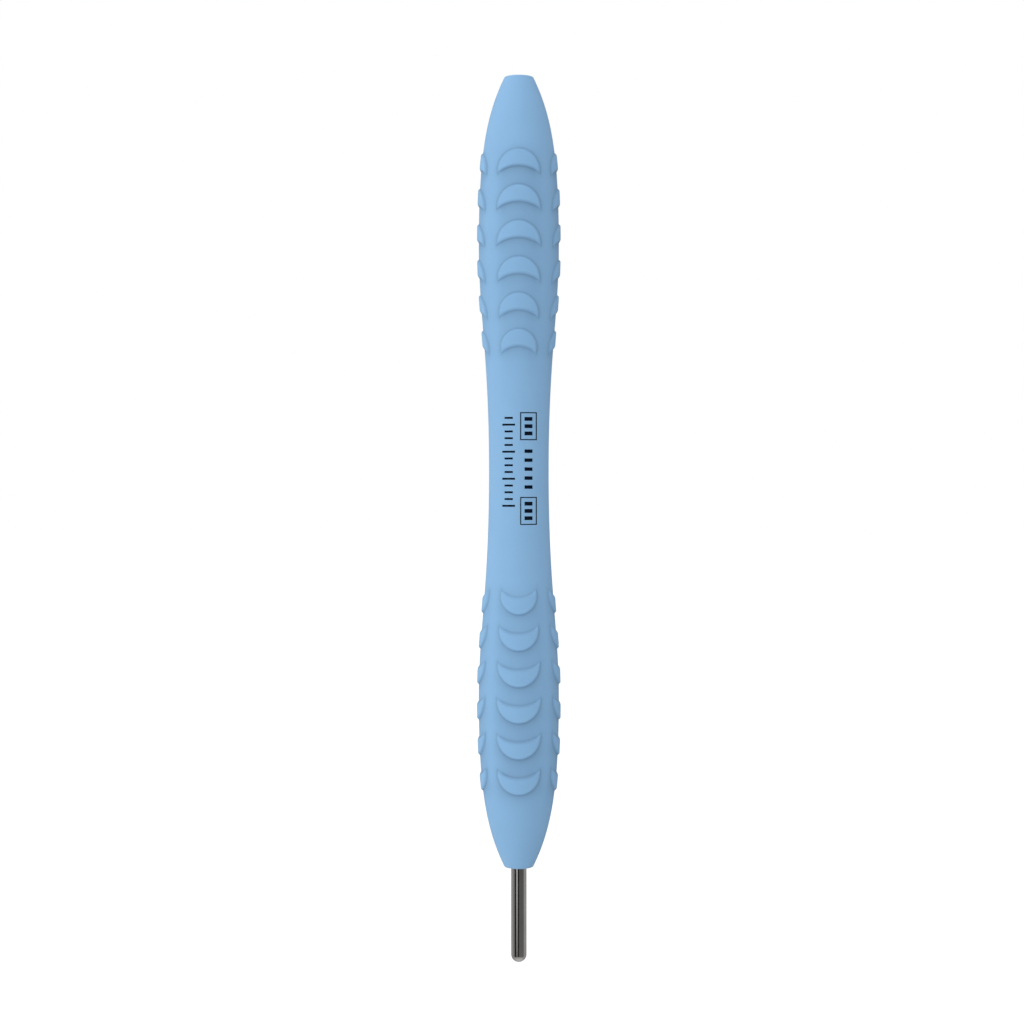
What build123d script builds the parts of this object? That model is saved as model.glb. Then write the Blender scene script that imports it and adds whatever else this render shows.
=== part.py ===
from build123d import *

import os
from math import sqrt

# A dental mirror handle: a soft silicone grip moulded over a hollow steel core,
# with a polished stem that screws into the nose of the core.
#
# Frame: the origin is on the axis at the middle of the grip, +Z runs towards the
# tail, and the stem leaves the nose towards -Z. Lengths are in millimetres.

# Grip: its side is two Bezier curves each way from the waist, mirrored about the middle
grip_half = 58.0
waist_radius = 4.375
waist_ease = 17.0
bulge_radius = 5.88
bulge_height = 33.0
bulge_ease_in = 10.0
bulge_ease_out = 12.7
end_radius = 2.1
end_ease = 6.0
end_slope = 0.49
end_rounding = 0.25

# Crescent pads: rows are counted from the waist outwards
pad_columns = 4
pad_radii = [2.70, 2.95, 3.14, 3.25, 3.23, 3.15]
pad_first_top = 20.75
pad_pitch = 5.21
pad_depth = 2.68
pad_tip_drop = 3.7
pad_height = 0.27
pad_root_radius = 4.0
pad_reach = 3.0

# Steel core under the silicone
tube_radius = 3.0
tube_bore = 2.5
tube_half = 52.0
tube_edge = 0.1
core_half = 56.8
cone_face_radius = 1.75
spigot_edge = 0.2
socket_inner_end = 39.0
plug_inner_end = 43.0
lock_pin_radius = 0.5
lock_pin_length = 7.0
lock_pin_edge = 0.1
front_pin_height = -41.0
rear_pin_height = 46.0

# Stem: the shown length is polished, and the shank behind it runs in the socket
stem_radius = 1.125
stem_shown = 14.0
shank_radius = 1.10
shank_taper = 1.1
shank_end = 49.0
bore_clearance = 0.03
mouth_clearance = 0.06
thread_radius = 1.0
thread_clearance = 0.02
thread_end = 44.0
thread_edge = 0.15
bore_end = 43.9

# O-ring in the shank's groove
groove_height = -51.3
groove_width = 0.40
groove_radius = 0.80
ring_section = 0.15
ring_centre_radius = 0.965

socket_bore = shank_radius + bore_clearance
mouth_radius = shank_radius + mouth_clearance
thread_bore = thread_radius + thread_clearance
thread_body = thread_radius - thread_clearance

os.makedirs("parts", exist_ok=True)


def side_curves(proud=0.0):
    """Draws the grip's side from nose to tail as (radius, height), this far outside the moulded surface."""
    for side in (1, -1):
        Bezier(
            (waist_radius + proud, 0),
            (waist_radius + proud, side * waist_ease),
            (bulge_radius + proud, side * (bulge_height - bulge_ease_in)),
            (bulge_radius + proud, side * bulge_height),
        )
        Bezier(
            (bulge_radius + proud, side * bulge_height),
            (bulge_radius + proud, side * (bulge_height + bulge_ease_out)),
            (end_radius + proud + end_slope * end_ease, side * (grip_half - end_ease)),
            (end_radius + proud, side * grip_half),
        )


def fill_to_axis(radius, half):
    """Closes the two side curves with flat ends and the axis, and makes the face."""
    Polyline((radius, half), (0, half), (0, -half), (radius, -half))


def crescent(top, radius, side):
    """Draws one crescent whose two arcs bow towards the nearer end of the grip."""
    half_width = sqrt(radius**2 - (pad_tip_drop - radius) ** 2)
    tip = side * (top - pad_tip_drop)
    ThreePointArc((-half_width, tip), (0, side * top), (half_width, tip))
    ThreePointArc((half_width, tip), (0, side * (top - pad_depth)), (-half_width, tip))


def column_plane(angle):
    """A plane inside the silicone that faces outwards at this angle, with its own y along +Z."""
    outward = Vector(1, 0, 0).rotate(Axis.Z, angle)
    across = Vector(0, 1, 0).rotate(Axis.Z, angle)
    return Plane(origin=outward * pad_root_radius, x_dir=across, z_dir=outward)


# Pads: crescents cast straight out from the axis, trimmed to stand just proud of the grip
with BuildPart() as pads:
    for column in range(pad_columns):
        with BuildSketch(column_plane(column * 360 / pad_columns)):
            for side in (1, -1):
                for row, radius in enumerate(pad_radii):
                    with BuildLine():
                        crescent(pad_first_top + row * pad_pitch, radius, side)
                    make_face()
        extrude(amount=pad_reach)
    with BuildSketch(Plane.XZ):
        with BuildLine():
            side_curves(pad_height)
            fill_to_axis(end_radius + pad_height, grip_half)
        make_face()
    revolve(axis=Axis.Z, mode=Mode.INTERSECT)

# Grip sleeve: one silicone moulding, solid at the tail and open at the nose for the stem
with BuildPart() as grip_sleeve:
    with BuildSketch(Plane.XZ):
        with BuildLine():
            side_curves()
            fill_to_axis(end_radius, grip_half)
        make_face()
    revolve(axis=Axis.Z)
    end_rims = edges().filter_by(GeomType.CIRCLE).group_by(Axis.Z)
    fillet(end_rims[0] + end_rims[-1], end_rounding)
    add(pads.part)
    with BuildSketch(Plane.XZ):
        with BuildLine():
            Polyline(
                (0, -grip_half),
                (mouth_radius, -grip_half),
                (mouth_radius, -core_half),
                (cone_face_radius, -core_half),
                (tube_radius, -tube_half),
                (tube_radius, tube_half),
                (cone_face_radius, core_half),
                (0, core_half),
                close=True,
            )
        make_face()
    revolve(axis=Axis.Z, mode=Mode.SUBTRACT)
    with Locations((0, 0, front_pin_height), (0, 0, rear_pin_height)):
        Cylinder(lock_pin_radius, lock_pin_length, rotation=(0, 90, 0), mode=Mode.SUBTRACT)

grip_sleeve.part.label = "grip_sleeve"
export_step(grip_sleeve.part, "parts/grip_sleeve.step")

# Core tube: the stiff hollow middle, drilled across for the two lock pins
with BuildPart() as core_tube:
    Cylinder(tube_radius, 2 * tube_half)
    Cylinder(tube_bore, 2 * tube_half, mode=Mode.SUBTRACT)
    bore_rims = edges().filter_by(GeomType.CIRCLE).filter_by(lambda e: e.radius == tube_bore)
    chamfer(bore_rims, tube_edge)
    with Locations((0, 0, front_pin_height), (0, 0, rear_pin_height)):
        Cylinder(lock_pin_radius, lock_pin_length, rotation=(0, 90, 0), mode=Mode.SUBTRACT)

core_tube.part.label = "core_tube"
export_step(core_tube.part, "parts/core_tube.step")

# Nose socket: a cone ahead of the tube, a spigot inside it, and the stem's bore and thread
with BuildPart() as nose_socket:
    with BuildSketch(Plane.XZ):
        with BuildLine():
            Polyline(
                (socket_bore, -core_half),
                (cone_face_radius, -core_half),
                (tube_radius, -tube_half),
                (tube_bore, -tube_half),
                (tube_bore, -socket_inner_end),
                (0, -socket_inner_end),
                (0, -bore_end),
                (thread_bore, -bore_end),
                (thread_bore, -shank_end),
                (socket_bore, -shank_end),
                close=True,
            )
        make_face()
    revolve(axis=Axis.Z)
    spigot_rim = edges().filter_by(GeomType.CIRCLE).sort_by(Axis.Z)[-1]
    chamfer(spigot_rim, spigot_edge)
    with Locations((0, 0, front_pin_height)):
        Cylinder(lock_pin_radius, lock_pin_length, rotation=(0, 90, 0), mode=Mode.SUBTRACT)

nose_socket.part.label = "nose_socket"
export_step(nose_socket.part, "parts/nose_socket.step")

# Tail plug: the same cone and spigot at the other end, without a bore
with BuildPart() as tail_plug:
    with BuildSketch(Plane.XZ):
        with BuildLine():
            Polyline(
                (0, core_half),
                (cone_face_radius, core_half),
                (tube_radius, tube_half),
                (tube_bore, tube_half),
                (tube_bore, plug_inner_end),
                (0, plug_inner_end),
                close=True,
            )
        make_face()
    revolve(axis=Axis.Z)
    spigot_rim = edges().filter_by(GeomType.CIRCLE).sort_by(Axis.Z)[0]
    chamfer(spigot_rim, spigot_edge)
    with Locations((0, 0, rear_pin_height)):
        Cylinder(lock_pin_radius, lock_pin_length, rotation=(0, 90, 0), mode=Mode.SUBTRACT)

tail_plug.part.label = "tail_plug"
export_step(tail_plug.part, "parts/tail_plug.step")


def lock_pin(height):
    """A cross pin through tube and insert, whose ends stand in the silicone and key it."""
    with BuildPart() as pin:
        with Locations((0, 0, height)):
            Cylinder(lock_pin_radius, lock_pin_length, rotation=(0, 90, 0))
        chamfer(pin.edges().filter_by(GeomType.CIRCLE), lock_pin_edge)
    return pin


front_lock_pin = lock_pin(front_pin_height)
front_lock_pin.part.label = "front_lock_pin"
export_step(front_lock_pin.part, "parts/front_lock_pin.step")

rear_lock_pin = lock_pin(rear_pin_height)
rear_lock_pin.part.label = "rear_lock_pin"
export_step(rear_lock_pin.part, "parts/rear_lock_pin.step")

# Stem: domed tip, polished length, tapered step to the shank with its seal groove, and the threaded end
with BuildPart() as stem:
    dome_height = -(grip_half + stem_shown - stem_radius)
    with BuildSketch(Plane.XZ):
        with BuildLine():
            CenterArc((0, dome_height), stem_radius, -90, 90)
            Polyline(
                (stem_radius, dome_height),
                (stem_radius, -grip_half),
                (shank_radius, -grip_half + shank_taper),
                (shank_radius, groove_height - groove_width / 2),
                (groove_radius, groove_height - groove_width / 2),
                (groove_radius, groove_height + groove_width / 2),
                (shank_radius, groove_height + groove_width / 2),
                (shank_radius, -shank_end),
                (thread_body, -shank_end),
                (thread_body, -thread_end - thread_edge),
                (thread_body - thread_edge, -thread_end),
                (0, -thread_end),
                (0, dome_height - stem_radius),
            )
        make_face()
    revolve(axis=Axis.Z)

stem.part.label = "stem"
export_step(stem.part, "parts/stem.step")

# Stem seal ring: a small O-ring that travels with the stem and wipes the socket's bore
with BuildPart() as stem_seal_ring:
    with BuildSketch(Plane.XZ):
        with Locations((ring_centre_radius, groove_height)):
            Circle(ring_section)
    revolve(axis=Axis.Z)

stem_seal_ring.part.label = "stem_seal_ring"
export_step(stem_seal_ring.part, "parts/stem_seal_ring.step")
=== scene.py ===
import math

import bmesh
import bpy
import numpy as np
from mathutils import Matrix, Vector
from mathutils.geometry import delaunay_2d_cdt


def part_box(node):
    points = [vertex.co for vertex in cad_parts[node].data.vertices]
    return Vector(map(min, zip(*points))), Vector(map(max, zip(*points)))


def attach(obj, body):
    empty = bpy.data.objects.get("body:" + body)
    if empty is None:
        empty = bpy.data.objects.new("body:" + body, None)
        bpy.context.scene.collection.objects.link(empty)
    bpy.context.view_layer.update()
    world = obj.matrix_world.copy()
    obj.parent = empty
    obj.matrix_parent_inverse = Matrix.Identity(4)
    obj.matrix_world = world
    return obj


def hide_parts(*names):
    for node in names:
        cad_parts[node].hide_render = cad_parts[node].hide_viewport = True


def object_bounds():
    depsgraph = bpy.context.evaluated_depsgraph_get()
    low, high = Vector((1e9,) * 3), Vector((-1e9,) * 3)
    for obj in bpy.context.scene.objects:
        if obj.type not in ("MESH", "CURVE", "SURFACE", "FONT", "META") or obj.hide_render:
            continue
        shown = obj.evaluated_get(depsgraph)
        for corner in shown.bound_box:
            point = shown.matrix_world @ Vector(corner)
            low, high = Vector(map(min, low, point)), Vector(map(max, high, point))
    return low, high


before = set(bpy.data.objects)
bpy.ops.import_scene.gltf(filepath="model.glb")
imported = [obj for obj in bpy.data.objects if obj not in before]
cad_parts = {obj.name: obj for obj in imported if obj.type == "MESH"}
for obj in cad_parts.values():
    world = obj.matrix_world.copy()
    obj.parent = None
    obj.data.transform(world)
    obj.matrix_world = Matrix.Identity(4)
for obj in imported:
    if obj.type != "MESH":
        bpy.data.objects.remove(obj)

# A dental mirror handle: soft silicone grip with crescent pads, and a polished stem.
# Shapes are worked out in millimetres, as in part.py, and scaled to metres at the end.
MM = 0.001
# The mesh attribute of painted shade: how much darker the silicone is painted at a point, mostly in the
# creases round the pads
PAINTED_CREASE_SHADE = "painted_crease_shade"
cad_low, cad_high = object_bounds()
grip_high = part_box("grip_sleeve")[1]
tube_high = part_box("core_tube")[1]
stem_low, stem_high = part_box("stem")
seal_low, seal_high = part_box("stem_seal_ring")

# ---------------------------------------------------------------- driving dimensions, mm

GRIP_HALF = grip_high[2] / MM
WAIST_RADIUS = 4.375
WAIST_EASE = 17.0
BULGE_RADIUS = 5.88
BULGE_HEIGHT = 33.0
BULGE_EASE_IN = 10.0
BULGE_EASE_OUT = 12.7
END_RADIUS = 2.1
END_EASE = 6.0
END_SLOPE = 0.49
END_ROUNDING = 0.25

COLUMNS = 4
PAD_RADII = [2.70, 2.95, 3.14, 3.25, 3.23, 3.15]
PAD_FIRST_TOP = 20.75
PAD_PITCH = 5.21
PAD_DEPTH = 2.68
PAD_TIP_DROP = 3.7
PAD_HEIGHT = 0.27
PAD_SPAN = PAD_PITCH * (len(PAD_RADII) - 1)
CONVEX_WALL = 0.34
CONCAVE_WALL = 0.56

TUBE_RADIUS = tube_high[0] / MM
TUBE_HALF = tube_high[2] / MM
CONE_FACE_RADIUS = 1.75
CORE_HALF = 56.8
MOUTH_RADIUS = 1.16
LIP_ROUNDING = 0.05
FLAT_RADII = [1.7, 1.4]
TAIL_FAN_RADIUS = 0.7

STEM_RADIUS = stem_high[0] / MM
DOME_START_DEG = -86
SHANK_RADIUS = 1.10
SHANK_TAPER = 1.1
SHANK_END = 49.0
THREAD_RADIUS = 0.98
THREAD_PITCH = 0.40
THREAD_DEPTH = 0.24
THREAD_SLOPE = 2.6
THREAD_CREST = 0.15
THREAD_EDGE = 0.15
GROOVE_WIDTH = 0.40
GROOVE_RADIUS = 0.80
GROOVE_EDGE = 0.03

# Mesh fineness: steps along a curve or round a circle
SIDE_STEPS = 1500
ARC_STEPS = 36
TOP_ROWS = 8
SECTOR_STEPS = 22
PLAIN_ROWS = 30
RIM_STEPS = 7
LIP_STEPS = 3
CAVITY_ROWS = 14
STEM_AROUND = 96
DOME_STEPS = 24
SHAFT_ROWS = 16
THREAD_ROWS_PER_TURN = 12
SEAL_AROUND = 72
SEAL_STEPS = 20


# ---------------------------------------------------------------- mesh helpers


def bezier(points, t):
    """Points of a cubic Bezier curve at the parameters t."""
    a, b, c, d = (np.array(p, float) for p in points)
    t = np.asarray(t, float)[:, None]
    return a * (1 - t) ** 3 + 3 * b * t * (1 - t) ** 2 + 3 * c * t**2 * (1 - t) + d * t**3


def new_object(name, shell, material, weld=2e-6, sharp_deg=50):
    """A welded, outward-facing, smooth-shaded mesh object from a shell in millimetres."""
    mesh = bpy.data.meshes.new(name)
    faces = [list(map(int, f)) for f in shell.faces]
    mesh.from_pydata((np.asarray(shell.verts) * MM).tolist(), [], faces)
    # Painted shade, kept per vertex: one minus each vertex's tone
    shade = mesh.attributes.new(PAINTED_CREASE_SHADE, "FLOAT", "POINT")
    shade.data.foreach_set("value", 1 - np.array(shell.painted_tones))
    work = bmesh.new()
    work.from_mesh(mesh)
    bmesh.ops.remove_doubles(work, verts=work.verts, dist=weld)
    bmesh.ops.recalc_face_normals(work, faces=work.faces)
    work.to_mesh(mesh)
    work.free()
    mesh.shade_smooth()
    mesh.set_sharp_from_angle(angle=math.radians(sharp_deg))
    mesh.materials.append(material)
    obj = bpy.data.objects.new(name, mesh)
    bpy.context.scene.collection.objects.link(obj)
    return obj


class Shell:
    """Vertices, faces and tones of painted shade gathered piece by piece, in millimetres."""

    def __init__(self):
        self.verts = []
        self.faces = []
        self.painted_tones = []

    def add(self, verts, faces, painted_tones=None):
        """Adds vertices and their faces; a tone of 1 is unshaded skin and less is painted shade, darker.
        """
        start = len(self.verts)
        self.verts.extend(np.asarray(verts, float).tolist())
        self.faces.extend([[start + i for i in f] for f in faces])
        self.painted_tones.extend(np.ones(len(verts)) if painted_tones is None else painted_tones)

    def ring_strip(self, rings, painted_tones=None):
        """Quads between rings of equal length, each closed on itself."""
        count = len(rings[0])
        faces = []
        for level in range(len(rings) - 1):
            for k in range(count):
                j = (k + 1) % count
                low, high = level * count, (level + 1) * count
                faces.append((low + k, low + j, high + j, high + k))
        self.add(np.concatenate(rings), faces, painted_tones)

    def cap(self, ring, centre):
        """A fan from a ring to one point."""
        count = len(ring)
        fan = [(k, (k + 1) % count, count) for k in range(count)]
        self.add(np.vstack([ring, [centre]]), fan)


def circle(radius, height, angles):
    """A ring of points at these angles, counted from the front, -Y; radius may differ at each."""
    return np.column_stack(
        [radius * np.sin(angles), -radius * np.cos(angles), np.full(len(angles), height)]
    )


def lathe(profile, angles):
    """Closed rings for a list of (radius, height)."""
    return [circle(radius, height, angles) for radius, height in profile]


def arc_points(centre, radius, start_deg, end_deg, steps):
    """Points along an arc in the (radius, height) plane."""
    turn = np.radians(np.linspace(start_deg, end_deg, steps + 1))
    return [(centre[0] + radius * math.cos(a), centre[1] + radius * math.sin(a)) for a in turn]


# ---------------------------------------------------------------- materials


class Nodes:
    """A material whose nodes are added and joined by short calls."""

    def __init__(self, name):
        self.material = bpy.data.materials.new(name)
        self.material.use_nodes = True
        self.tree = self.material.node_tree
        self.shader = self.tree.nodes["Principled BSDF"]

    def add(self, kind, **values):
        node = self.tree.nodes.new(kind)
        for key, value in values.items():
            if hasattr(node, key):
                setattr(node, key, value)
            else:
                node.inputs[key.replace("_", " ")].default_value = value
        return node

    def join(self, source, output, target, socket):
        self.tree.links.new(source.outputs[output], target.inputs[socket])

    def set(self, **values):
        for key, value in values.items():
            self.shader.inputs[key.replace("_", " ")].default_value = value

    def noise(self, scale, detail=3.0, roughness=0.5, stretch=(1, 1, 1)):
        """Object-space noise, in features per metre, stretched along the axes."""
        place = self.add("ShaderNodeTexCoord")
        mapping = self.add("ShaderNodeMapping")
        mapping.inputs["Scale"].default_value = stretch
        noise = self.add("ShaderNodeTexNoise")
        noise.inputs["Scale"].default_value = scale
        noise.inputs["Detail"].default_value = detail
        noise.inputs["Roughness"].default_value = roughness
        self.join(place, "Object", mapping, "Vector")
        self.join(mapping, "Vector", noise, "Vector")
        return noise

    def ramp(self, source, output, stops):
        """A colour ramp through (position, colour) stops."""
        node = self.add("ShaderNodeValToRGB")
        elements = node.color_ramp.elements
        while len(elements) < len(stops):
            elements.new(0.5)
        for element, (position, colour) in zip(elements, stops):
            element.position = position
            element.color = (*colour, 1.0)
        self.join(source, output, node, "Fac")
        return node

    def spread(self, source, output, low, high):
        """Maps 0..1 to low..high."""
        node = self.add("ShaderNodeMapRange")
        node.inputs["To Min"].default_value = low
        node.inputs["To Max"].default_value = high
        self.join(source, output, node, "Value")
        return node

    def bump(self, layers):
        """Stacks bumps, each (noise node, strength, height in metres), and feeds the normal."""
        last = None
        for source, strength, distance in layers:
            node = self.add("ShaderNodeBump")
            node.inputs["Strength"].default_value = strength
            node.inputs["Distance"].default_value = distance
            self.join(source, 0, node, "Height")
            if last:
                self.join(last, "Normal", node, "Normal")
            last = node
        self.join(last, "Normal", self.shader, "Normal")


def silicone_material():
    """Soft-touch light blue silicone: cloudy pigment, a fine moulded grain, a faint sheen and painted
    shade in its creases.
    """
    m = Nodes("light_blue_silicone")
    clouds = m.noise(scale=260, detail=4)
    colour = m.ramp(
        clouds,
        0,
        [
            (0.25, (0.244, 0.456, 0.714)),
            (0.50, (0.248, 0.463, 0.722)),
            (0.75, (0.252, 0.470, 0.731)),
        ],
    )
    # Painted shade: the per-vertex crease attribute mixes the pigment towards black in the pads' creases
    shade = m.add("ShaderNodeAttribute", attribute_name=PAINTED_CREASE_SHADE)
    shaded = m.add("ShaderNodeMix", data_type="RGBA")
    shaded.inputs[7].default_value = (0, 0, 0, 1)
    m.join(shade, "Fac", shaded, 0)
    m.join(colour, "Color", shaded, 6)
    m.join(shaded, 2, m.shader, "Base Color")
    grain = m.noise(scale=9000, detail=2)
    rough = m.spread(clouds, 0, 0.50, 0.60)
    m.join(rough, "Result", m.shader, "Roughness")
    pores = m.noise(scale=3200, detail=3)
    m.bump([(pores, 0.25, 0.00001), (grain, 0.30, 0.000004)])
    m.set(IOR=1.41, Specular_IOR_Level=0.3)
    m.set(Subsurface_Weight=0.12, Subsurface_Scale=0.0015)
    m.shader.inputs["Subsurface Radius"].default_value = (0.35, 0.6, 1.0)
    return m.material


def polished_steel_material():
    """Mirror-polished stainless steel with hair-fine turning lines and a few soft smears."""
    m = Nodes("polished_stainless")
    smear = m.noise(scale=700, detail=4)
    colour = m.ramp(smear, 0, [(0.3, (0.56, 0.55, 0.53)), (0.7, (0.61, 0.60, 0.58))])
    m.join(colour, "Color", m.shader, "Base Color")
    rough = m.spread(smear, 0, 0.07, 0.13)
    m.join(rough, "Result", m.shader, "Roughness")
    lines = m.noise(scale=900, detail=3, stretch=(1, 1, 28))
    m.bump([(lines, 0.10, 0.000002)])
    m.set(Metallic=1.0)
    return m.material


def brushed_steel_material():
    """Drawn and turned stainless steel, for the core under the silicone."""
    m = Nodes("turned_stainless")
    lines = m.noise(scale=500, detail=5, stretch=(1, 1, 30))
    colour = m.ramp(lines, 0, [(0.3, (0.42, 0.42, 0.41)), (0.7, (0.56, 0.56, 0.55))])
    m.join(colour, "Color", m.shader, "Base Color")
    rough = m.spread(lines, 0, 0.25, 0.42)
    m.join(rough, "Result", m.shader, "Roughness")
    m.bump([(lines, 0.30, 0.000006)])
    m.set(Metallic=1.0)
    return m.material


def seal_material():
    """Black nitrile rubber with a dull, slightly dusty skin."""
    m = Nodes("black_nitrile")
    dust = m.noise(scale=4000, detail=4)
    colour = m.ramp(dust, 0, [(0.3, (0.012, 0.012, 0.013)), (0.8, (0.030, 0.030, 0.031))])
    m.join(colour, "Color", m.shader, "Base Color")
    rough = m.spread(dust, 0, 0.45, 0.62)
    m.join(rough, "Result", m.shader, "Roughness")
    m.bump([(dust, 0.3, 0.000004)])
    return m.material


def ink_material():
    """Dark navy pad-printing ink, a little uneven in density."""
    m = Nodes("navy_ink")
    density = m.noise(scale=2600, detail=4)
    colour = m.ramp(density, 0, [(0.25, (0.001, 0.004, 0.012)), (0.8, (0.003, 0.009, 0.023))])
    m.join(colour, "Color", m.shader, "Base Color")
    rough = m.spread(density, 0, 0.45, 0.60)
    m.join(rough, "Result", m.shader, "Roughness")
    m.bump([(density, 0.2, 0.000003)])
    m.set(Specular_IOR_Level=0.06)
    return m.material


SILICONE = silicone_material()
POLISHED = polished_steel_material()
BRUSHED = brushed_steel_material()
SEAL = seal_material()
INK = ink_material()


# ---------------------------------------------------------------- the grip's surface


def side_curve():
    """Half of the grip's side as dense (height, radius) samples, from waist to end."""
    t = np.linspace(0, 1, SIDE_STEPS)
    inner = bezier(
        [
            (0, WAIST_RADIUS),
            (WAIST_EASE, WAIST_RADIUS),
            (BULGE_HEIGHT - BULGE_EASE_IN, BULGE_RADIUS),
            (BULGE_HEIGHT, BULGE_RADIUS),
        ],
        t,
    )
    outer = bezier(
        [
            (BULGE_HEIGHT, BULGE_RADIUS),
            (BULGE_HEIGHT + BULGE_EASE_OUT, BULGE_RADIUS),
            (GRIP_HALF - END_EASE, END_RADIUS + END_SLOPE * END_EASE),
            (GRIP_HALF, END_RADIUS),
        ],
        t,
    )
    return np.vstack([inner, outer[1:]])


SIDE = side_curve()


def radius_at(height):
    """The base radius at a height from the middle, either way."""
    return np.interp(np.abs(height), SIDE[:, 0], SIDE[:, 1])


def cast(points, proud):
    """Points (x, height) of the front view, set on the grip's front this far proud of it."""
    points = np.asarray(points, float)
    radius = radius_at(points[:, 1]) + proud
    x = points[:, 0]
    return np.column_stack([x, -np.sqrt(radius**2 - x**2), points[:, 1]])


def angle_of(points):
    """The angle round the axis of base points (x, height)."""
    return np.arcsin(points[:, 0] / radius_at(points[:, 1]))


class Crescent:
    """One pad's outline in front view, grown or shrunk by moving its two arcs."""

    def __init__(self, top, radius):
        self.outer_centre = top - radius
        self.outer_radius = radius
        self.half_width = math.sqrt(radius**2 - (PAD_TIP_DROP - radius) ** 2)
        self.tip_height = top - PAD_TIP_DROP
        rise = PAD_TIP_DROP - PAD_DEPTH
        self.inner_radius = (self.half_width**2 + rise**2) / (2 * rise)
        self.inner_centre = top - PAD_DEPTH - self.inner_radius

    def circles(self, level):
        """Both radii at a level: 0 at the wall's foot, 1 at its top, or so many mm outside if negative."""
        if level < 0:
            return self.outer_radius - level, self.inner_radius + level
        return (
            self.outer_radius - level * CONVEX_WALL,
            self.inner_radius + level * CONCAVE_WALL,
        )

    def arcs(self, level, steps):
        """The convex and the concave arc at a level, both from the left tip to the right."""
        big, small = self.circles(level)
        gap = self.outer_centre - self.inner_centre
        above = (small**2 - big**2 + gap**2) / (2 * gap)
        tip_x = math.sqrt(small**2 - above**2)
        tip_z = self.inner_centre + above
        convex_tip = math.atan2(tip_z - self.outer_centre, tip_x)
        concave_tip = math.atan2(tip_z - self.inner_centre, tip_x)
        a = np.linspace(math.pi - convex_tip, convex_tip, steps + 1)
        b = np.linspace(math.pi - concave_tip, concave_tip, steps + 1)
        convex = np.column_stack([big * np.cos(a), self.outer_centre + big * np.sin(a)])
        concave = np.column_stack([small * np.cos(b), self.inner_centre + small * np.sin(b)])
        return convex, concave

    def loop(self, level, steps):
        """The closed outline at a level, without repeating a point."""
        convex, concave = self.arcs(level, steps)
        return np.vstack([convex, concave[-2:0:-1]])

    def covers(self, points, level):
        """Which points (x, height) lie inside the outline at a level."""
        big, small = self.circles(level)
        x, z = points[:, 0], points[:, 1]
        in_outer = np.hypot(x, z - self.outer_centre) < big
        in_inner = np.hypot(x, z - self.inner_centre) < small
        return in_outer & ~in_inner


CRESCENTS = [
    Crescent(PAD_FIRST_TOP + row * PAD_PITCH, radius) for row, radius in enumerate(PAD_RADII)
]

# Outlines of a pad from the skin around it, over its wall, to its top, as Crescent.circles takes them
SKIRT = -0.50
WALL_LEVELS = [SKIRT, -0.30, -0.16, -0.07, 0.0, 0.08, 0.18, 0.30, 0.44, 0.60, 0.78, 0.90, 1.0, 1.22]
CONVEX_EASE = 1.8
CONCAVE_EASE = 2.2

# The stretch of skin meshed round the pads, mm
FIELD_LOW = 15.5
FIELD_HIGH = 47.9
ROW_STEP = 0.42
CLEAR_OF_OUTLINE = 0.22

# Painted shade beside a pad's wall, as (depth, reach in mm), and how fast the wall itself clears of it
# The shade is painted deeper beside walls that face the nose, as if the light came from above
FACING_NOSE = {"layers": [(0.05, 0.12), (0.14, 0.65), (0.045, 2.2)], "ease": 2.2}
FACING_TAIL = {"layers": [(0.10, 0.12), (0.09, 0.33)], "ease": 1.0}

# How strong that shade is at the waist's pad and how much it gains by the last pad
CREASE_DEPTH = 0.9
CREASE_GAIN = 0.3

# Painted shade over the whole grooved stretch, and how much less of it lies between the nose half's
# columns.
# Pairs are where a change starts and ends, mm from the waist or from a column's middle line.
GROOVED_SHADE = 0.025
GROOVED_FROM = (15.5, 17.5)
GROOVED_TO = (46.0, 47.9)
CHANNEL_LIFT = 0.020
CHANNEL_FROM = (2.6, 3.8)

# Painted shade between one pad and the next, and how much it gains by the last pad
HOLLOW_SHADE = 0.02
HOLLOW_GAIN = 0.055
HOLLOW_ENDS = (2.5, 0.1)
HOLLOW_TO = (1.2, 3.9)


def smooth(low, high, value):
    """0 up to low, 1 from high, and a smooth step between."""
    u = np.clip((value - low) / (high - low), 0, 1)
    return u * u * (3 - 2 * u)


def facings(side):
    """How the convex and the concave walls face, in the tail half (1) or the nose half (-1)."""
    return (FACING_TAIL, FACING_NOSE) if side > 0 else (FACING_NOSE, FACING_TAIL)


def crease(distance, facing):
    """The shade at a distance outside a wall's foot; there is none inside it."""
    shade = sum(depth * np.exp(-np.abs(distance) / reach) for depth, reach in facing["layers"])
    return shade * (distance > -1e-6)


def shade_ahead(pad, x, z, facing):
    """The shade outside a pad's convex wall, which turns at its ends to the shade facing the tail."""
    from_centre = np.hypot(x, z - pad.outer_centre)
    from_tip = np.hypot(np.abs(x) - pad.half_width, z - pad.tip_height)
    above_tips = z > pad.tip_height
    distance = np.where(above_tips, from_centre - pad.outer_radius, from_tip)
    beyond_tips = smooth(pad.half_width - 0.6, pad.half_width, np.abs(x))
    weight = np.where(above_tips, 1.0, beyond_tips)
    ahead = smooth(0.0, 0.8, (z - pad.outer_centre) / from_centre)
    shade = ahead * crease(distance, facing) + (1 - ahead) * crease(distance, FACING_TAIL)
    return weight * shade


def shade_behind(pad, x, z, facing):
    """The shade outside a pad's concave wall, between its two tips."""
    rise = z - pad.inner_centre
    distance = pad.inner_radius - np.hypot(x, np.maximum(rise, 0)) + np.maximum(-rise, 0)
    between_tips = 1 - smooth(pad.half_width - 1.0, pad.half_width + 0.3, np.abs(x))
    return between_tips * crease(distance, facing)


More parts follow.
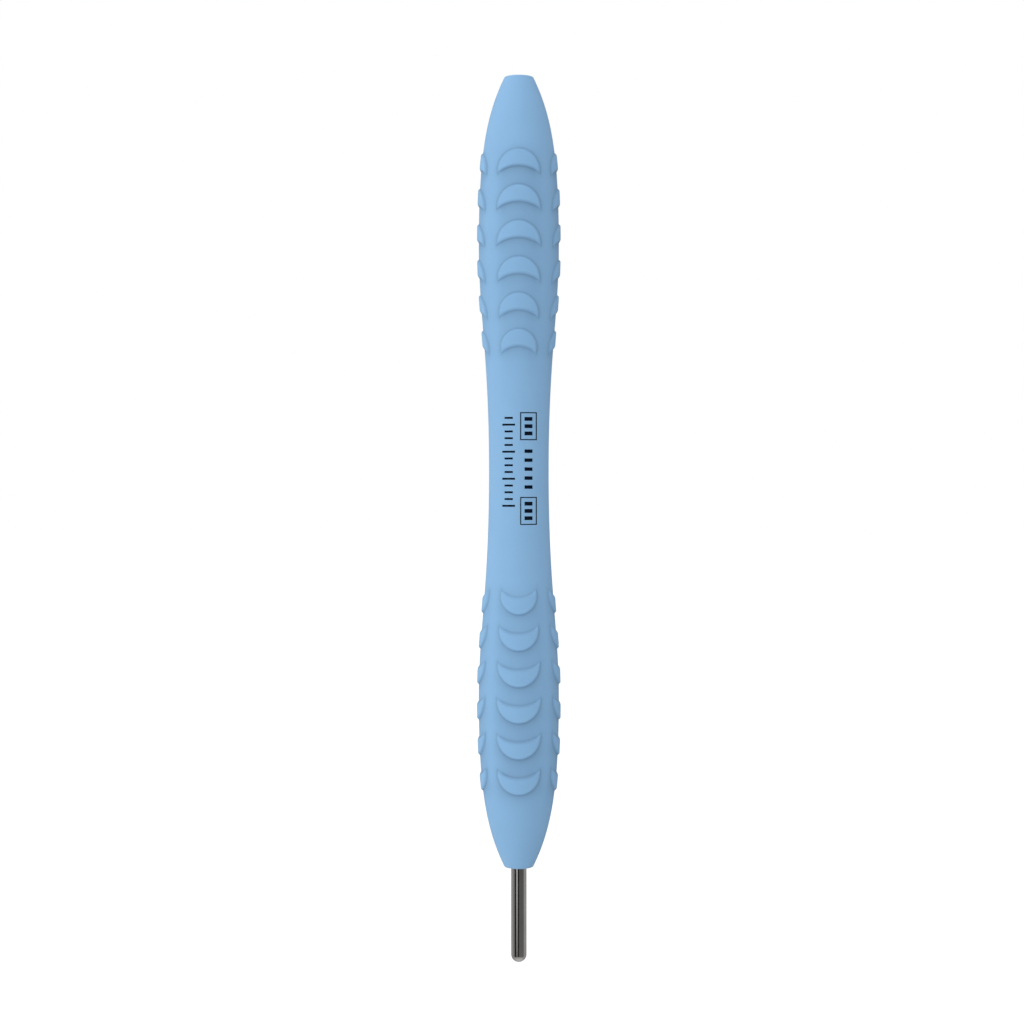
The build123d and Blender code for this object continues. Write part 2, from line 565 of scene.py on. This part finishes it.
def hollow_shade(x, z):
    """The soft painted shade along the middle of a column, from its first pad to its last."""
    sag = PAD_RADII[0] - np.sqrt(np.maximum(PAD_RADII[0] ** 2 - x**2, 0))
    above = z + sag - PAD_FIRST_TOP
    far, near = HOLLOW_ENDS
    between_rows = smooth(-far, -near, above) * (1 - smooth(PAD_SPAN - far, PAD_SPAN - near, above))
    depth = HOLLOW_SHADE + HOLLOW_GAIN * np.clip(above / PAD_SPAN, 0, 1)
    return depth * between_rows * (1 - smooth(*HOLLOW_TO, np.abs(x)))


def painted_skin_tone(points, side):
    """The painted shade of the base skin at points (x, height) as a tone: 1 where it is unshaded, less in
    its creases.
    """
    x, z = points[:, 0], points[:, 1]
    convex, concave = facings(side)
    grooved = smooth(*GROOVED_FROM, z) * (1 - smooth(*GROOVED_TO, z))
    channel = smooth(*CHANNEL_FROM, np.abs(x)) if side < 0 else 0.0
    tone = 1 - (GROOVED_SHADE - CHANNEL_LIFT * channel) * grooved
    for row, pad in enumerate(CRESCENTS):
        depth = CREASE_DEPTH + CREASE_GAIN * row / (len(CRESCENTS) - 1)
        tone = tone * (1 - depth * shade_ahead(pad, x, z, convex))
        tone = tone * (1 - depth * shade_behind(pad, x, z, concave))
    return tone * (1 - hollow_shade(x, z))


def along_loop(convex, concave):
    """A value for each vertex of a pad's outline: one on each wall and their mean at the tips."""
    values = np.full(2 * ARC_STEPS, concave)
    values[: ARC_STEPS + 1] = convex
    values[[0, ARC_STEPS]] = (convex + concave) / 2
    return values


def pad_surface(shell, crescent, side):
    """One pad's wall and top, without the skin under it."""
    convex, concave = facings(side)
    foot_shade = 1 - painted_skin_tone(crescent.loop(0.0, ARC_STEPS), side)
    rings, painted_tones = [], []
    for level in WALL_LEVELS:
        outline = crescent.loop(level, ARC_STEPS)
        down = 1 - min(max(level, 0.0), 1.0)
        height = along_loop(1 - down**CONVEX_EASE, 1 - down**CONCAVE_EASE)
        rings.append(cast(outline, PAD_HEIGHT * height))
        if level < 0:
            painted_tones.extend(painted_skin_tone(outline, side))
        else:
            left = along_loop(down ** convex["ease"], down ** concave["ease"])
            painted_tones.extend(1 - foot_shade * left)
    shell.ring_strip(rings, painted_tones)
    convex, concave = crescent.arcs(WALL_LEVELS[-1], ARC_STEPS)
    rows = []
    for share in np.linspace(0, 1, TOP_ROWS + 1):
        rows.append(cast(concave * (1 - share) + convex * share, PAD_HEIGHT))
    count = ARC_STEPS + 1
    faces = []
    for row in range(TOP_ROWS):
        for k in range(ARC_STEPS):
            a, b = row * count + k, (row + 1) * count + k
            if k == 0:
                faces.append((a, a + 1, b + 1))
            elif k == ARC_STEPS - 1:
                faces.append((a, a + 1, b))
            else:
                faces.append((a, a + 1, b + 1, b))
    shell.add(np.concatenate(rows), faces)


def field_between_pads(shell, angles, side):
    """The base skin of one quarter around its six pads, triangulated up to their outlines."""
    rows = np.linspace(FIELD_LOW, FIELD_HIGH, round((FIELD_HIGH - FIELD_LOW) / ROW_STEP) + 1)
    outlines = [c.loop(SKIRT, ARC_STEPS) for c in CRESCENTS]
    outline_points = np.vstack(outlines)
    grid = []
    for z in rows:
        for step, angle in enumerate(angles):
            x = radius_at(z) * math.sin(angle)
            point = np.array([[x, z]])
            edge = step in (0, len(angles) - 1) or z in (rows[0], rows[-1])
            near = np.hypot(*(outline_points - point).T).min() < CLEAR_OF_OUTLINE
            inside = any(c.covers(point, SKIRT)[0] for c in CRESCENTS)
            if edge or not (near or inside):
                grid.append((angle, z))
    loops, flat = [], []
    for outline in outlines:
        start = len(flat)
        flat.extend(zip(angle_of(outline), outline[:, 1]))
        loops.extend((start + i, start + (i + 1) % len(outline)) for i in range(len(outline)))
    flat.extend(grid)
    around = BULGE_RADIUS
    plane = [Vector((angle * around, z)) for angle, z in flat]
    verts, _, faces, *_ = delaunay_2d_cdt(plane, loops, [], 0, 1e-6)
    verts = np.array([(v.x / around, v.y) for v in verts])
    front = np.column_stack([radius_at(verts[:, 1]) * np.sin(verts[:, 0]), verts[:, 1]])
    middles = np.array([front[list(f)].mean(axis=0) for f in faces])
    covered = np.any([c.covers(middles, SKIRT) for c in CRESCENTS], axis=0)
    kept = [f for f, hidden in zip(faces, covered) if not hidden]
    shell.add(cast(front, 0.0), kept, painted_skin_tone(front, side))


def plain_rows(shell, heights, angles, side):
    """A quad strip of the base skin over one quarter."""
    count = len(angles)
    points = np.array([(radius_at(z) * math.sin(a), z) for z in heights for a in angles])
    faces = []
    for row in range(len(heights) - 1):
        for k in range(count - 1):
            a, b = row * count + k, (row + 1) * count + k
            faces.append((a, a + 1, b + 1, b))
    shell.add(cast(points, 0.0), faces, painted_skin_tone(points, side))


def end_profile():
    """The rounded rim at an end, as (radius, height) from the flank to the flat."""
    flank = math.degrees(math.atan(END_SLOPE))
    turn = 90 - flank
    reach = END_ROUNDING * math.tan(math.radians(turn / 2))
    centre = (END_RADIUS - reach, GRIP_HALF - END_ROUNDING)
    return arc_points(centre, END_ROUNDING, flank, 90, RIM_STEPS)


def half_quarter(side, rim_start):
    """One column of pads and the skin around it, in the tail half (1) or the nose half (-1)."""
    quarter = np.radians(np.linspace(-45, 45, SECTOR_STEPS + 1))
    shell = Shell()
    for crescent in CRESCENTS:
        pad_surface(shell, crescent, side)
    field_between_pads(shell, quarter, side)
    plain_rows(shell, np.linspace(0, FIELD_LOW, PLAIN_ROWS), quarter, side)
    plain_rows(shell, np.linspace(FIELD_HIGH, rim_start, PLAIN_ROWS), quarter, side)
    return shell


def add_sides(whole, rim_start):
    """The padded outside: each half's quarter, turned to every column."""
    for side in (1, -1):
        part = half_quarter(side, rim_start)
        for column in range(COLUMNS):
            turn = column * 2 * math.pi / COLUMNS
            spin = np.array(
                [
                    [math.cos(turn), math.sin(turn), 0],
                    [-math.sin(turn), math.cos(turn), 0],
                    [0, 0, side],
                ]
            )
            whole.add(np.array(part.verts) @ spin, part.faces, part.painted_tones)


def cavity_profile():
    """The hollow for the stem and the core, as (radius, height) from the nose to the tail."""
    cavity = [(MOUTH_RADIUS, -CORE_HALF), (CONE_FACE_RADIUS, -CORE_HALF), (TUBE_RADIUS, -TUBE_HALF)]
    cavity += [(TUBE_RADIUS, z) for z in np.linspace(-TUBE_HALF, TUBE_HALF, CAVITY_ROWS)[1:]]
    return cavity + [(CONE_FACE_RADIUS, CORE_HALF)]


def make_grip():
    """The whole silicone sleeve, closed inside and out, with its bore for the core and stem."""
    rim = end_profile()
    rim_start = rim[0][1]
    rim[0] = (float(radius_at(rim_start)), rim_start)
    whole = Shell()
    add_sides(whole, rim_start)
    around = COLUMNS * SECTOR_STEPS
    angles = np.radians(np.arange(around) * 360 / around - 45)
    rim += [(radius, GRIP_HALF) for radius in FLAT_RADII]
    tail_rings = lathe(rim + [(TAIL_FAN_RADIUS, GRIP_HALF)], angles)
    whole.ring_strip(tail_rings)
    whole.cap(tail_rings[-1], (0, 0, GRIP_HALF))
    lip_centre = (MOUTH_RADIUS + LIP_ROUNDING, GRIP_HALF - LIP_ROUNDING)
    nose = rim + arc_points(lip_centre, LIP_ROUNDING, 90, 180, LIP_STEPS)
    inside_rings = lathe([(radius, -height) for radius, height in nose] + cavity_profile(), angles)
    whole.ring_strip(inside_rings)
    whole.cap(inside_rings[-1], (0, 0, CORE_HALF))
    return new_object("silicone_grip", whole, SILICONE)


grip = make_grip()
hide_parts("grip_sleeve")
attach(grip, "handle")


# ---------------------------------------------------------------- stem and seal


def make_stem():
    """The stem as one turned piece, with its seal groove and its helical thread."""
    angles = np.linspace(0, 2 * math.pi, STEM_AROUND, endpoint=False)
    tip = stem_low[2] / MM
    end = stem_high[2] / MM
    groove = (seal_low[2] + seal_high[2]) / 2 / MM
    dome = arc_points((0, tip + STEM_RADIUS), STEM_RADIUS, DOME_START_DEG, 0, DOME_STEPS)
    shaft_heights = np.linspace(tip + STEM_RADIUS, -GRIP_HALF, SHAFT_ROWS)
    shaft = [(STEM_RADIUS, z) for z in shaft_heights[1:]]
    shank = [
        (SHANK_RADIUS, -GRIP_HALF + SHANK_TAPER),
        (SHANK_RADIUS, groove - GROOVE_WIDTH / 2 - GROOVE_EDGE),
        (SHANK_RADIUS - GROOVE_EDGE, groove - GROOVE_WIDTH / 2),
        (GROOVE_RADIUS, groove - GROOVE_WIDTH / 2),
        (GROOVE_RADIUS, groove + GROOVE_WIDTH / 2),
        (SHANK_RADIUS - GROOVE_EDGE, groove + GROOVE_WIDTH / 2),
        (SHANK_RADIUS, groove + GROOVE_WIDTH / 2 + GROOVE_EDGE),
        (SHANK_RADIUS, -SHANK_END - GROOVE_EDGE),
        (SHANK_RADIUS - GROOVE_EDGE, -SHANK_END),
    ]
    rings = lathe(dome + shaft + shank, angles)
    for z in np.arange(-SHANK_END, end, THREAD_PITCH / THREAD_ROWS_PER_TURN):
        phase = (z / THREAD_PITCH - angles / (2 * math.pi)) % 1.0
        flank = np.clip(np.abs(phase - 0.5) * THREAD_SLOPE - THREAD_CREST, 0, 1)
        fade = min(1.0, (z + SHANK_END) / THREAD_PITCH)
        taper = max(0.0, z - (end - THREAD_EDGE))
        rings.append(circle(THREAD_RADIUS - THREAD_DEPTH * flank * fade - taper, z, angles))
    shell = Shell()
    shell.ring_strip(rings)
    shell.cap(rings[0], (0, 0, tip))
    shell.cap(rings[-1], (0, 0, end))
    return new_object("polished_stem", shell, POLISHED, sharp_deg=40)


def make_seal():
    """The O-ring, a fine torus filling its CAD solid."""
    angles = np.linspace(0, 2 * math.pi, SEAL_AROUND, endpoint=False)
    section = (seal_high[2] - seal_low[2]) / 2 / MM
    centre_radius = seal_high[0] / MM - section
    centre_height = (seal_high[2] + seal_low[2]) / 2 / MM
    profile = arc_points((centre_radius, centre_height), section, 0, 360, SEAL_STEPS)
    shell = Shell()
    shell.ring_strip(lathe(profile, angles))
    return new_object("seal_ring", shell, SEAL)


stem = make_stem()
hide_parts("stem")
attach(stem, "stem")

seal = make_seal()
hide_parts("stem_seal_ring")
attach(seal, "seal")

for node in ("core_tube", "nose_socket", "tail_plug", "front_lock_pin", "rear_lock_pin"):
    core_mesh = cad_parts[node].data
    core_mesh.materials.clear()
    core_mesh.materials.append(BRUSHED)


# ---------------------------------------------------------------- printed marks

INK_PROUD = 0.012
INK_SUNK = 0.03
INK_STEP = (0.25, 0.5)
FRAME_SIZE = (2.42, 4.05)
FRAME_LINE = 0.15
FRAME_X = 1.4
FRAME_HEIGHTS = (6.62, -5.66)
FRAME_BARS = 3
FRAME_BAR_SIZE = (1.15, 0.55)
FRAME_BAR_PITCH = 1.05
TICK_X = -1.48
TICK_Z = 1.45
TICK_LONG = 1.85
TICK_SHORT = 1.20
TICK_LINE = 0.28
TICK_PITCH = 0.98
TICK_COUNT = 14
TICKS_PER_LONG = 4
DASH_X = 1.4
DASH_Z = 0.4
DASH_SIZE = (1.15, 0.5)
DASH_PITCH = 1.3
DASH_COUNT = 5


def ink_bar(shell, middle, size):
    """A printed bar that hugs the grip, as a thin closed slab sunk a little into it."""
    steps_x = max(1, round(size[0] / INK_STEP[0]))
    steps_z = max(1, round(size[1] / INK_STEP[1]))
    xs = middle[0] + size[0] * (np.arange(steps_x + 1) / steps_x - 0.5)
    zs = middle[1] + size[1] * (np.arange(steps_z + 1) / steps_z - 0.5)
    points = [(x, z) for z in zs for x in xs]
    count = len(xs)
    total = len(points)
    faces = []
    for row in range(steps_z):
        for k in range(steps_x):
            a = row * count + k
            b = a + count
            faces.append((a, a + 1, b + 1, b))
            faces.append((total + a, total + b, total + b + 1, total + a + 1))
    rim = list(range(count))
    rim += [row * count + count - 1 for row in range(1, steps_z + 1)]
    rim += [steps_z * count + k for k in range(count - 2, -1, -1)]
    rim += [row * count for row in range(steps_z - 1, 0, -1)]
    for i, a in enumerate(rim):
        b = rim[(i + 1) % len(rim)]
        faces.append((a, b, total + b, total + a))
    shell.add(np.vstack([cast(points, INK_PROUD), cast(points, -INK_SUNK)]), faces)


def make_print():
    """Plain generic marks: a row of ticks, a row of dashes and two small frames of bars."""
    shell = Shell()
    for i in range(TICK_COUNT):
        z = TICK_Z + (i - (TICK_COUNT - 1) / 2) * TICK_PITCH
        length = TICK_SHORT if i % TICKS_PER_LONG else TICK_LONG
        ink_bar(shell, (TICK_X, z), (length, TICK_LINE))
    for i in range(DASH_COUNT):
        z = DASH_Z + (i - (DASH_COUNT - 1) / 2) * DASH_PITCH
        ink_bar(shell, (DASH_X, z), DASH_SIZE)
    wide, tall = FRAME_SIZE
    for z in FRAME_HEIGHTS:
        for edge in (1, -1):
            x = FRAME_X + edge * (wide - FRAME_LINE) / 2
            ink_bar(shell, (x, z), (FRAME_LINE, tall))
            bar_z = z + edge * (tall - FRAME_LINE) / 2
            ink_bar(shell, (FRAME_X, bar_z), (wide - 2 * FRAME_LINE, FRAME_LINE))
        for i in range(FRAME_BARS):
            bar_z = z + (i - (FRAME_BARS - 1) / 2) * FRAME_BAR_PITCH
            ink_bar(shell, (FRAME_X, bar_z), FRAME_BAR_SIZE)
    return new_object("printed_marks", shell, INK, weld=1e-7)


marks = make_print()
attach(marks, "handle")


# ---------------------------------------------------------------- floor, cards, light, camera

# Lengths here are in metres
FLOOR_DROP = 0.030
FLOOR_SIZE = 6.0
FLOOR_GREY = 0.86
FLOOR_GLOW = 0.17
CARD_DISTANCE = 0.45
CARD_STEPS = 12
CARD_LOW = -0.38
CARD_HIGH = 0.60
CARD_FADE_LOW = -0.180
CARD_FADE_HIGH = -0.147
WORLD_LIGHT = 0.905
WORLD_LEAN = (-0.32, -0.085, 0.21)
WORLD_GLOSS = 0.42
WORLD_GLOSS_BELOW = 0.66
WORLD_GLOSS_RISE = (-1.0, -0.65)
KEY_PLACE = (-0.30, -0.30, 0.40)
KEY_SIZE = 0.50
KEY_POWER = 0.25
CAMERA_DISTANCE = 0.3010
CAMERA_LENS = 72
CAMERA_SHIFT = (-0.0067, -0.0392)


def stage_material(name, grey, emission):
    """A plain matt material with a glow of its own, for things that aren't the object."""
    m = Nodes(name)
    m.set(Roughness=1.0, Specular_IOR_Level=0.0, Emission_Strength=emission)
    m.shader.inputs["Base Color"].default_value = (grey, grey, grey, 1)
    m.shader.inputs["Emission Color"].default_value = (1, 1, 1, 1)
    return m


def make_floor():
    """A large pale floor under the whole travel of the stem."""
    half = FLOOR_SIZE / 2
    z = cad_low[2] - FLOOR_DROP
    mesh = bpy.data.meshes.new("floor")
    corners = [(-half, -half, z), (half, -half, z), (half, half, z), (-half, half, z)]
    mesh.from_pydata(corners, [], [(0, 1, 2, 3)])
    mesh.materials.append(stage_material("pale_floor", FLOOR_GREY, FLOOR_GLOW).material)
    floor = bpy.data.objects.new("floor", mesh)
    bpy.context.scene.collection.objects.link(floor)
    floor.visible_diffuse = False
    floor.visible_glossy = False


def make_card(name, start_deg, end_deg, glow, low_glow=None):
    """A tall curved card that only shows in reflections; angles run from the front to the right.

    Its glow changes to low_glow towards the part that the stem's tip mirrors.
    """
    verts, faces = [], []
    for i, angle in enumerate(np.radians(np.linspace(start_deg, end_deg, CARD_STEPS + 1))):
        x, y = CARD_DISTANCE * math.sin(angle), -CARD_DISTANCE * math.cos(angle)
        verts += [(x, y, CARD_LOW), (x, y, CARD_HIGH)]
        if i:
            faces.append((2 * i - 2, 2 * i, 2 * i + 1, 2 * i - 1))
    mesh = bpy.data.meshes.new(name)
    mesh.from_pydata(verts, [], faces)
    m = stage_material(name, 0, glow)
    if low_glow is not None:
        place = m.add("ShaderNodeTexCoord")
        split = m.add("ShaderNodeSeparateXYZ")
        m.join(place, "Object", split, "Vector")
        fade = m.spread(split, "Z", low_glow, glow)
        fade.inputs["From Min"].default_value = CARD_FADE_LOW
        fade.inputs["From Max"].default_value = CARD_FADE_HIGH
        m.join(fade, "Result", m.shader, "Emission Strength")
    mesh.materials.append(m.material)
    card = bpy.data.objects.new(name, mesh)
    bpy.context.scene.collection.objects.link(card)
    card.visible_camera = False
    card.visible_diffuse = False
    card.visible_transmission = False
    card.visible_shadow = False


def make_key_light():
    """A square softbox at the upper left, aimed at the middle of the grip."""
    data = bpy.data.lights.new("key", "AREA")
    data.size = KEY_SIZE
    data.energy = KEY_POWER
    light = bpy.data.objects.new("key", data)
    light.location = KEY_PLACE
    light.rotation_mode = "QUATERNION"
    light.rotation_quaternion = (-Vector(KEY_PLACE)).to_track_quat("-Z", "Y")
    bpy.context.scene.collection.objects.link(light)


def make_world():
    """A white room to the eye, a light that leans to the upper left, and a grey room in reflections."""
    world = bpy.data.worlds.new("studio")
    world.use_nodes = True
    tree = world.node_tree
    join = tree.links.new
    place = tree.nodes.new("ShaderNodeTexCoord")
    path = tree.nodes.new("ShaderNodeLightPath")
    light = tree.nodes["Background"]
    glossy = tree.nodes.new("ShaderNodeBackground")
    seen = tree.nodes.new("ShaderNodeBackground")
    for background in (light, glossy, seen):
        background.inputs["Color"].default_value = (1, 1, 1, 1)

    lean = tree.nodes.new("ShaderNodeVectorMath")
    lean.operation = "DOT_PRODUCT"
    lean.inputs[1].default_value = WORLD_LEAN
    add = tree.nodes.new("ShaderNodeMath")
    add.operation = "ADD"
    add.inputs[1].default_value = WORLD_LIGHT
    join(place.outputs["Generated"], lean.inputs[0])
    join(lean.outputs["Value"], add.inputs[0])
    join(add.outputs["Value"], light.inputs["Strength"])

    split = tree.nodes.new("ShaderNodeSeparateXYZ")
    rise = tree.nodes.new("ShaderNodeMapRange")
    rise.inputs["From Min"].default_value = WORLD_GLOSS_RISE[0]
    rise.inputs["From Max"].default_value = WORLD_GLOSS_RISE[1]
    rise.inputs["To Min"].default_value = WORLD_GLOSS_BELOW
    rise.inputs["To Max"].default_value = WORLD_GLOSS
    join(place.outputs["Generated"], split.inputs["Vector"])
    join(split.outputs["Z"], rise.inputs["Value"])
    join(rise.outputs["Result"], glossy.inputs["Strength"])

    gloss_mix = tree.nodes.new("ShaderNodeMixShader")
    join(path.outputs["Is Glossy Ray"], gloss_mix.inputs["Fac"])
    join(light.outputs["Background"], gloss_mix.inputs[1])
    join(glossy.outputs["Background"], gloss_mix.inputs[2])
    mix = tree.nodes.new("ShaderNodeMixShader")
    join(path.outputs["Is Camera Ray"], mix.inputs["Fac"])
    join(gloss_mix.outputs["Shader"], mix.inputs[1])
    join(seen.outputs["Background"], mix.inputs[2])
    join(mix.outputs["Shader"], tree.nodes["World Output"].inputs["Surface"])
    bpy.context.scene.world = world


def make_camera():
    """A long lens level with the middle of the grip."""
    data = bpy.data.cameras.new("camera")
    data.lens = CAMERA_LENS
    data.sensor_width = 36
    data.shift_x, data.shift_y = CAMERA_SHIFT
    data.clip_start = 0.01
    data.clip_end = 50
    camera = bpy.data.objects.new("camera", data)
    camera.location = (0, -CAMERA_DISTANCE, 0)
    camera.rotation_euler = (math.radians(90), 0, 0)
    bpy.context.scene.collection.objects.link(camera)
    bpy.context.scene.camera = camera


make_floor()
make_card("card_far_left", -105, -80, 0.31)
make_card("card_left_grey", -80, -65, 0.23)
make_card("card_left_dark", -65, -41, 0.01)
make_card("card_left_strip", -41, -15.5, 0.55, 0.21)
make_card("card_centre_dark", -15.5, 4, 0.0, 0.03)
make_card("card_right_grey", 4, 66, 0.12, 0.17)
make_card("card_right_pale", 66, 86, 0.21)
make_card("card_back_dark", 146, 160, 0.02)
make_card("card_back_strip", 162, 178, 0.50)
make_card("card_back_grey", 182, 214, 0.10)
make_key_light()
make_world()
make_camera()
bpy.context.scene.view_settings.view_transform = "Standard"
